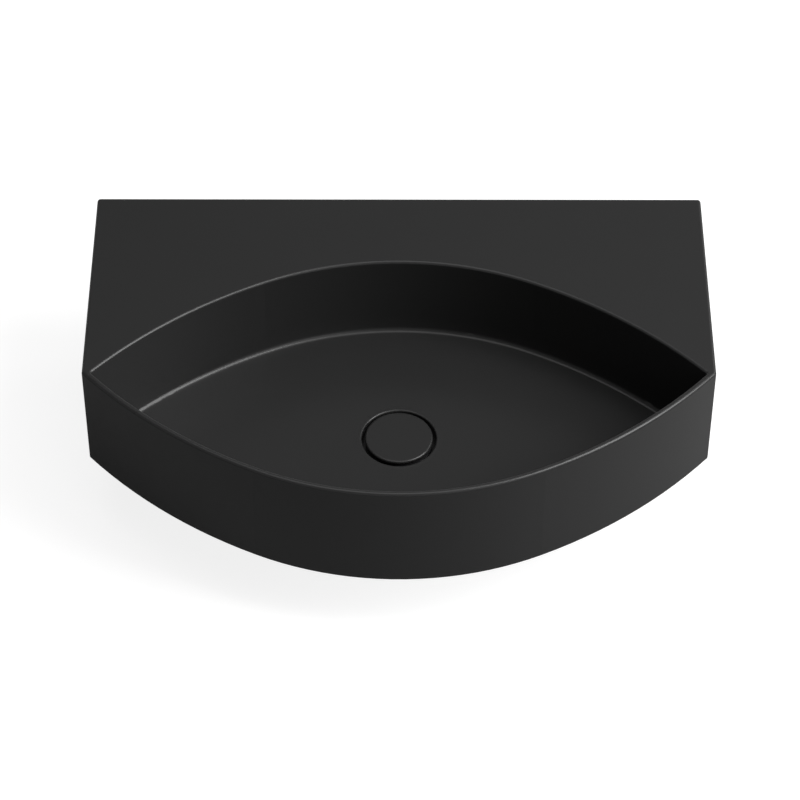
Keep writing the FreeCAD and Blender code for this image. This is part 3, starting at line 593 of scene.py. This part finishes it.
def matte_black_glaze():
    """Vitreous china under a matte black glaze: a very dark neutral grey with a soft broad sheen.

    The glaze has a faint orange peel and is fired a little smoother in places. It is wiped off the
    foot before firing, so the rim that stands lowest shows the pale biscuit.
    """
    material, tree, place = new_material("matte_black_glaze")
    peel = add_node(tree, "ShaderNodeTexNoise", {
        "Vector": place, "Scale": 1 / GLAZE_PEEL, "Detail": 2.0,
    })
    cloud = add_node(tree, "ShaderNodeTexNoise", {
        "Vector": place, "Scale": 1 / GLAZE_CLOUD, "Detail": 1.0,
    })
    gloss = add_node(tree, "ShaderNodeMapRange", {
        "Value": cloud.outputs["Fac"], "From Min": 0.3, "From Max": 0.7,
        "To Min": GLAZE_ROUGHNESS[0], "To Max": GLAZE_ROUGHNESS[1],
    })
    bump = add_node(tree, "ShaderNodeBump", {
        "Height": peel.outputs["Fac"], "Distance": GLAZE_PEEL_HEIGHT,
    })
    glazed = add_node(tree, "ShaderNodeBsdfPrincipled", {
        "Base Color": linear("#212121"),
        "Roughness": gloss.outputs["Result"],
        "Specular IOR Level": 0.25,
        "Normal": bump.outputs["Normal"],
    })

    grit = add_node(tree, "ShaderNodeTexNoise", {
        "Vector": place, "Scale": 1 / BISCUIT_GRIT, "Detail": 4.0,
    })
    clay = add_node(tree, "ShaderNodeMix", {
        "Factor": grit.outputs["Fac"], "A": linear("#bdb5a8"), "B": linear("#d8d1c5"),
    }, data_type="RGBA")
    rough = add_node(tree, "ShaderNodeBump", {
        "Height": grit.outputs["Fac"], "Distance": BISCUIT_GRIT_HEIGHT,
    })
    biscuit = add_node(tree, "ShaderNodeBsdfPrincipled", {
        "Base Color": clay.outputs["Result"],
        "Roughness": 0.85,
        "Normal": rough.outputs["Normal"],
    })

    wander = add_node(tree, "ShaderNodeTexNoise", {"Vector": place, "Scale": 1 / FOOT_WANDER_LENGTH})
    height = add_node(tree, "ShaderNodeSeparateXYZ", {"Vector": place}).outputs["Z"]
    line = add_node(tree, "ShaderNodeMath", {
        0: wander.outputs["Fac"], 1: FOOT_WANDER, 2: height,
    }, operation="MULTIPLY_ADD")
    wiped = add_node(tree, "ShaderNodeMath", {
        0: line.outputs["Value"], 1: basin_bottom + FOOT_BAND,
    }, operation="LESS_THAN")
    shader = add_node(tree, "ShaderNodeMixShader", {
        "Fac": wiped.outputs["Value"], 1: glazed.outputs["BSDF"], 2: biscuit.outputs["BSDF"],
    })
    finish_material(tree, shader)
    return material


FEED_MARK = 0.35 * MM
FEED_MARK_HEIGHT = 0.004 * MM
# Blender's wave texture of scale 1 repeats at this length
WAVE_PERIOD = math.pi / 10
RUB_PATCH = 3 * MM


def machined_brass():
    """Brass bar turned on a lathe and left bare: warm yellow, with feed marks that break up the glints.

    Real feed marks are about 0.1 mm apart; these are drawn coarser, so that they show.
    """
    material, tree, place = new_material("machined_brass")
    centred = add_node(tree, "ShaderNodeMapping", {"Vector": place, "Location": -drain_axis})
    marks = add_node(tree, "ShaderNodeTexWave", {
        "Vector": centred.outputs["Vector"], "Scale": WAVE_PERIOD / FEED_MARK, "Distortion": 1.5,
        "Detail Scale": 0.2,
    }, wave_type="RINGS", rings_direction="SPHERICAL")
    tarnish = add_node(tree, "ShaderNodeTexNoise", {
        "Vector": place, "Scale": 1 / RUB_PATCH, "Detail": 4.0,
    })
    tone = add_node(tree, "ShaderNodeMix", {
        "Factor": tarnish.outputs["Fac"], "A": linear("#b08d4c"), "B": linear("#d4b06a"),
    }, data_type="RGBA")
    bump = add_node(tree, "ShaderNodeBump", {
        "Height": marks.outputs["Fac"], "Distance": FEED_MARK_HEIGHT,
    })
    shader = add_node(tree, "ShaderNodeBsdfPrincipled", {
        "Base Color": tone.outputs["Result"],
        "Metallic": 1.0,
        "Roughness": 0.3,
        "Normal": bump.outputs["Normal"],
    })
    finish_material(tree, shader)
    return material


COATING_GRAIN = 0.3 * MM
COATING_GRAIN_HEIGHT = 0.006 * MM
CREST_WEAR = 0.12 * MM


def satin_black_brass():
    """Brass under a baked satin black coating: near black and silky, with a fine grain.

    Where the trap's nut has run over the thread, the crests are rubbed through to the yellow metal.
    """
    material, tree, place = new_material("satin_black_brass")
    grain = add_node(tree, "ShaderNodeTexNoise", {
        "Vector": place, "Scale": 1 / COATING_GRAIN, "Detail": 2.0,
    })
    bump = add_node(tree, "ShaderNodeBump", {
        "Height": grain.outputs["Fac"], "Distance": COATING_GRAIN_HEIGHT,
    })
    coating = add_node(tree, "ShaderNodeBsdfPrincipled", {
        "Base Color": linear("#1b1b1c"), "Roughness": 0.4, "Normal": bump.outputs["Normal"],
    })
    metal = add_node(tree, "ShaderNodeBsdfPrincipled", {
        "Base Color": linear("#c8a560"), "Metallic": 1.0, "Roughness": 0.35,
    })

    centred = add_node(tree, "ShaderNodeMapping", {
        "Vector": place, "Location": -drain_axis, "Scale": (1, 1, 0),
    })
    radius = add_node(tree, "ShaderNodeVectorMath", {
        0: centred.outputs["Vector"],
    }, operation="LENGTH")
    crest = add_node(tree, "ShaderNodeMath", {
        0: radius.outputs["Value"], 1: TAIL_RADIUS, 2: CREST_WEAR,
    }, operation="COMPARE")
    patch = add_node(tree, "ShaderNodeTexNoise", {
        "Vector": place, "Scale": 1 / RUB_PATCH, "Detail": 4.0,
    })
    rubbed = add_node(tree, "ShaderNodeMapRange", {
        "Value": patch.outputs["Fac"], "From Min": 0.5, "From Max": 0.6,
    })
    bare = add_node(tree, "ShaderNodeMath", {
        0: crest.outputs["Value"], 1: rubbed.outputs["Result"],
    }, operation="MULTIPLY")
    shader = add_node(tree, "ShaderNodeMixShader", {
        "Fac": bare.outputs["Value"], 1: coating.outputs["BSDF"], 2: metal.outputs["BSDF"],
    })
    finish_material(tree, shader)
    return material


FOAM_CELL = 0.5 * MM
FOAM_CELL_DEPTH = 0.1 * MM


def cellular_rubber():
    """Closed-cell grey rubber cut from sheet: mid grey, dull, with open cells along its cut edge."""
    material, tree, place = new_material("cellular_rubber")
    cells = add_node(tree, "ShaderNodeTexVoronoi", {"Vector": place, "Scale": 1 / FOAM_CELL})
    tone = add_node(tree, "ShaderNodeMix", {
        "Factor": cells.outputs["Distance"], "A": linear("#666664"), "B": linear("#9c9c99"),
    }, data_type="RGBA")
    bump = add_node(tree, "ShaderNodeBump", {
        "Height": cells.outputs["Distance"], "Distance": FOAM_CELL_DEPTH,
    })
    shader = add_node(tree, "ShaderNodeBsdfPrincipled", {
        "Base Color": tone.outputs["Result"], "Roughness": 0.8, "Normal": bump.outputs["Normal"],
    })
    finish_material(tree, shader)
    return material


def grained_finish(name, dark, pale, roughness, grain, depth, stretch=(1, 1, 1), **sockets):
    """A finish of one grain: two tones and a bump that share a pattern of real size, in metres."""
    material, tree, place = new_material(name)
    laid = add_node(tree, "ShaderNodeMapping", {"Vector": place, "Scale": stretch})
    pattern = add_node(tree, "ShaderNodeTexNoise", {
        "Vector": laid.outputs["Vector"], "Scale": 1 / grain, "Detail": 3.0,
    })
    tone = add_node(tree, "ShaderNodeMix", {
        "Factor": pattern.outputs["Fac"], "A": linear(dark), "B": linear(pale),
    }, data_type="RGBA")
    bump = add_node(tree, "ShaderNodeBump", {"Height": pattern.outputs["Fac"], "Distance": depth})
    shader = add_node(tree, "ShaderNodeBsdfPrincipled", {
        "Base Color": tone.outputs["Result"],
        "Roughness": roughness,
        "Normal": bump.outputs["Normal"],
        **sockets,
    })
    finish_material(tree, shader)
    return material


glaze = matte_black_glaze()
finishes = {
    "black_glaze": glaze,
    "cap_glaze": glaze,
    "bare_brass": machined_brass(),
    "coated_brass": satin_black_brass(),
    "flange_foam": cellular_rubber(),
    # Drawn stainless wire and sheet: cool grey metal, streaked along its length by the die
    "spring_steel": grained_finish(
        "drawn_stainless_steel", "#8f9296", "#bcbfc3", roughness=0.32, grain=0.6 * MM,
        depth=0.003 * MM, stretch=(1, 1, 4), Metallic=1.0,
    ),
    # Rubber moulded in a spark-finished tool: soft black, dull, with a fine pebble
    "seal_rubber": grained_finish(
        "moulded_black_rubber", "#161616", "#242423", roughness=0.62, grain=0.4 * MM,
        depth=0.02 * MM,
    ),
    # Polyethylene without pigment: milky white, waxy, letting some light through
    "slip_plastic": grained_finish(
        "natural_polyethylene", "#d5d4cb", "#e9e8e1", roughness=0.45, grain=2 * MM,
        depth=0.01 * MM, **{"Subsurface Weight": 0.3, "Subsurface Scale": 1 * MM},
    ),
    # Acetal moulded in black: even near-black with a low plastic sheen
    "carrier_plastic": grained_finish(
        "moulded_black_acetal", "#1a1a1b", "#232324", roughness=0.42, grain=0.8 * MM,
        depth=0.006 * MM,
    ),
    # Silicone cured between two faces: cloudy white and slightly glossy
    "bond": grained_finish(
        "cured_silicone", "#cfcfc9", "#e3e3dd", roughness=0.38, grain=1.2 * MM,
        depth=0.02 * MM, **{"Subsurface Weight": 0.2, "Subsurface Scale": 0.5 * MM},
    ),
}

for part in frame["record"]["subparts"]:
    node = nodes[part["node"]]
    node.data.materials.clear()
    node.data.materials.append(finishes[part["material_slot"]])
tail.data.materials.append(finishes["coated_brass"])
spring.data.materials.append(finishes["spring_steel"])
gasket.data.materials.append(finishes["seal_rubber"])
for piece in (*glaze_pools, hole_roll, cover):
    piece.data.materials.append(glaze)


# Stage: lengths in metres, and strengths of which 1 is white.
# The ceiling's rise is the upward share of a direction, 1 straight up.

FLOOR_CLEARANCE = 14 * MM
FLOOR_SIZE = 12.0
FLOOR_PAINT = 0.28
# The floor's glow is lower near the basin than far out: painted shade round the basin
FLOOR_GLOW_NEAR = 0.85
FLOOR_GLOW_FAR = 1.0
PAINTED_SHADE_REACH = (0.5, 1.4)
FLOOR_SHEEN = 0.02
SOFT_SKY = 0.02
CEILING_SHADE = 0.3
CEILING_RISE = (0.12, 0.4)


def add_seen(tree, *kinds):
    """One where the light path is of any of these kinds, else nothing."""
    path = add_node(tree, "ShaderNodeLightPath")
    seen = path.outputs[kinds[0]]
    for kind in kinds[1:]:
        either = add_node(tree, "ShaderNodeMath", {
            0: seen, 1: path.outputs[kind],
        }, operation="MAXIMUM")
        seen = either.outputs["Value"]
    return seen


def pale_studio_paper():
    """Studio paper: white to the eye. Its glow is turned down round the basin, a painted shade that
    fades out with distance, and there it also takes the basin's cast shadow.

    It is one-sided, so that the basin can be seen from below.
    """
    material, tree, place = new_material("pale_studio_paper")
    reach = add_node(tree, "ShaderNodeVectorMath", {0: place}, operation="LENGTH")
    # Painted shade: the glow rises with distance from the floor's middle, from its near to its far
    # strength
    white = add_node(tree, "ShaderNodeMapRange", {
        "Value": reach.outputs["Value"], "From Min": PAINTED_SHADE_REACH[0], "From Max": PAINTED_SHADE_REACH[1],
        "To Min": FLOOR_GLOW_NEAR, "To Max": FLOOR_GLOW_FAR,
    })
    sheen = add_node(tree, "ShaderNodeMath", {
        0: add_seen(tree, "Is Glossy Ray"), 1: FLOOR_SHEEN,
    }, operation="MULTIPLY")
    strength = add_node(tree, "ShaderNodeMath", {
        0: add_seen(tree, "Is Camera Ray", "Is Transmission Ray"), 1: white.outputs["Result"],
        2: sheen.outputs["Value"],
    }, operation="MULTIPLY_ADD")
    glow = add_node(tree, "ShaderNodeEmission", {"Strength": strength.outputs["Value"]})
    paper = add_node(tree, "ShaderNodeBsdfDiffuse", {
        "Color": (FLOOR_PAINT, FLOOR_PAINT, FLOOR_PAINT, 1),
    })
    both = add_node(tree, "ShaderNodeAddShader", {
        0: glow.outputs["Emission"], 1: paper.outputs["BSDF"],
    })
    under = add_node(tree, "ShaderNodeNewGeometry").outputs["Backfacing"]
    clear = add_node(tree, "ShaderNodeBsdfTransparent")
    shader = add_node(tree, "ShaderNodeMixShader", {
        "Fac": under, 1: both.outputs["Shader"], 2: clear.outputs["BSDF"],
    })
    finish_material(tree, shader)
    return material


def white_studio():
    """A world that is white to the eye; in reflections it grows darker towards the ceiling."""
    world = bpy.data.worlds.new("studio")
    world.use_nodes = True
    tree = world.node_tree
    tree.nodes.clear()
    direction = add_node(tree, "ShaderNodeTexCoord").outputs["Generated"]
    rise = add_node(tree, "ShaderNodeSeparateXYZ", {"Vector": direction}).outputs["Z"]
    shade = add_node(tree, "ShaderNodeMapRange", {
        "Value": rise, "From Min": CEILING_RISE[0], "From Max": CEILING_RISE[1],
        "To Min": 1.0, "To Max": CEILING_SHADE,
    })
    plain = add_node(tree, "ShaderNodeMath", {
        0: shade.outputs["Result"], 1: add_seen(tree, "Is Camera Ray", "Is Transmission Ray"),
    }, operation="MAXIMUM")
    seen = add_seen(tree, "Is Camera Ray", "Is Glossy Ray", "Is Transmission Ray")
    level = add_node(tree, "ShaderNodeMapRange", {"Value": seen, "To Min": SOFT_SKY, "To Max": 1.0})
    sky = add_node(tree, "ShaderNodeBackground", {
        "Color": plain.outputs["Value"], "Strength": level.outputs["Result"],
    })
    add_node(tree, "ShaderNodeOutputWorld", {"Surface": sky.outputs["Background"]})
    return world


bpy.ops.object.select_all(action="DESELECT")
bpy.ops.mesh.primitive_plane_add(size=FLOOR_SIZE, location=(0, 0, tail_low.z - FLOOR_CLEARANCE))
floor = bpy.context.object
floor.name = "floor"
floor.data.materials.append(pale_studio_paper())
bpy.context.scene.world = white_studio()
bpy.context.scene.view_settings.view_transform = "Standard"


# Light

LIT_POINT = Vector((0, -200 * MM, 0))
LAMP_DISTANCE = 2.4


def add_softbox(name, bearing, height, size, power):
    """A softbox aimed at the bowl: metres and watts.

    Its bearing is counted from the front towards the right, its height from level, in degrees.
    """
    light = bpy.data.lights.new(name, "AREA")
    light.shape = "RECTANGLE"
    light.size, light.size_y = size
    light.energy = power
    lamp = bpy.data.objects.new(name, light)
    bpy.context.scene.collection.objects.link(lamp)
    turn, rise = math.radians(bearing), math.radians(height)
    level = math.cos(rise)
    towards = Vector((level * math.sin(turn), -level * math.cos(turn), math.sin(rise)))
    lamp.location = LIT_POINT + towards * LAMP_DISTANCE
    lamp.rotation_euler = (-towards).to_track_quat("-Z", "Y").to_euler()


add_softbox("tall_strip", bearing=74, height=43, size=(1.1, 2.4), power=100)
add_softbox("front_fill", bearing=30, height=35, size=(1.0, 1.0), power=5)
add_softbox("overhead", bearing=0, height=90, size=(2.0, 2.0), power=24)
add_softbox("rim_light", bearing=125, height=35, size=(0.8, 0.8), power=8)


# Camera: lens and sensor in millimetres, angles in degrees

CAMERA_LENS = 146.62
CAMERA_SENSOR = 36.0
CAMERA_PLACE = (-2.9 * MM, -2369.3 * MM, 2281.5 * MM)
CAMERA_TURN = -0.105
CAMERA_TILT = 43.301
CAMERA_ROLL = 0.153

camera_data = bpy.data.cameras.new("camera")
camera_data.lens = CAMERA_LENS
camera_data.sensor_width = CAMERA_SENSOR
camera = bpy.data.objects.new("camera", camera_data)
bpy.context.scene.collection.objects.link(camera)
aim = (
    Matrix.Rotation(math.radians(CAMERA_TURN), 4, "Z")
    @ Matrix.Rotation(math.radians(CAMERA_TILT), 4, "X")
    @ Matrix.Rotation(math.radians(CAMERA_ROLL), 4, "Z")
)
camera.matrix_world = Matrix.Translation(CAMERA_PLACE) @ aim
bpy.context.scene.camera = camera
